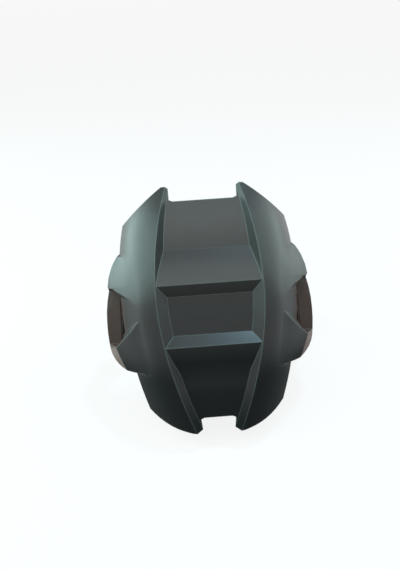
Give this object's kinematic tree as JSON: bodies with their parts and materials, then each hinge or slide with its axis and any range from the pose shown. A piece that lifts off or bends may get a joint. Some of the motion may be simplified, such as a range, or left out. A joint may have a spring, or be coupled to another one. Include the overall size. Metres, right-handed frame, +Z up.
{
  "type": "motorcycle rear hugger mudguard",
  "caption": "Moulded black rear hugger mudguard with a stepped centre channel, vented side wings and two flat side arms with cushioned screws.",
  "frame": {"origin": "middle of the line through the two arms' front bolt holes", "axes": "+X across the machine to its right, -Y to the rear, +Z up, with the guard tilted 35 degrees above level behind the axle as it sits on the machine"},
  "size_m": [0.2252, 0.2349, 0.2229],
  "materials": {
    "shell_plastic": "satin",
    "arm_paint": "satin",
    "fastener_steel": "satin",
    "collar_aluminium": "satin",
    "grommet_rubber": "matte"
  },
  "bodies": {
    "root": {"shell": "shell_plastic", "left_arm": "arm_paint", "right_arm": "arm_paint", "left_upper_screw": "fastener_steel", "left_upper_washer": "fastener_steel", "left_upper_collar": "collar_aluminium", "left_upper_grommet": "grommet_rubber", "left_upper_nut": "fastener_steel", "left_lower_screw": "fastener_steel", "left_lower_washer": "fastener_steel", "left_lower_collar": "collar_aluminium", "left_lower_grommet": "grommet_rubber", "left_lower_nut": "fastener_steel", "right_upper_screw": "fastener_steel", "right_upper_washer": "fastener_steel", "right_upper_collar": "collar_aluminium", "right_upper_grommet": "grommet_rubber", "right_upper_nut": "fastener_steel", "right_lower_screw": "fastener_steel", "right_lower_washer": "fastener_steel", "right_lower_collar": "collar_aluminium", "right_lower_grommet": "grommet_rubber", "right_lower_nut": "fastener_steel"}
  },
  "joints": []
}
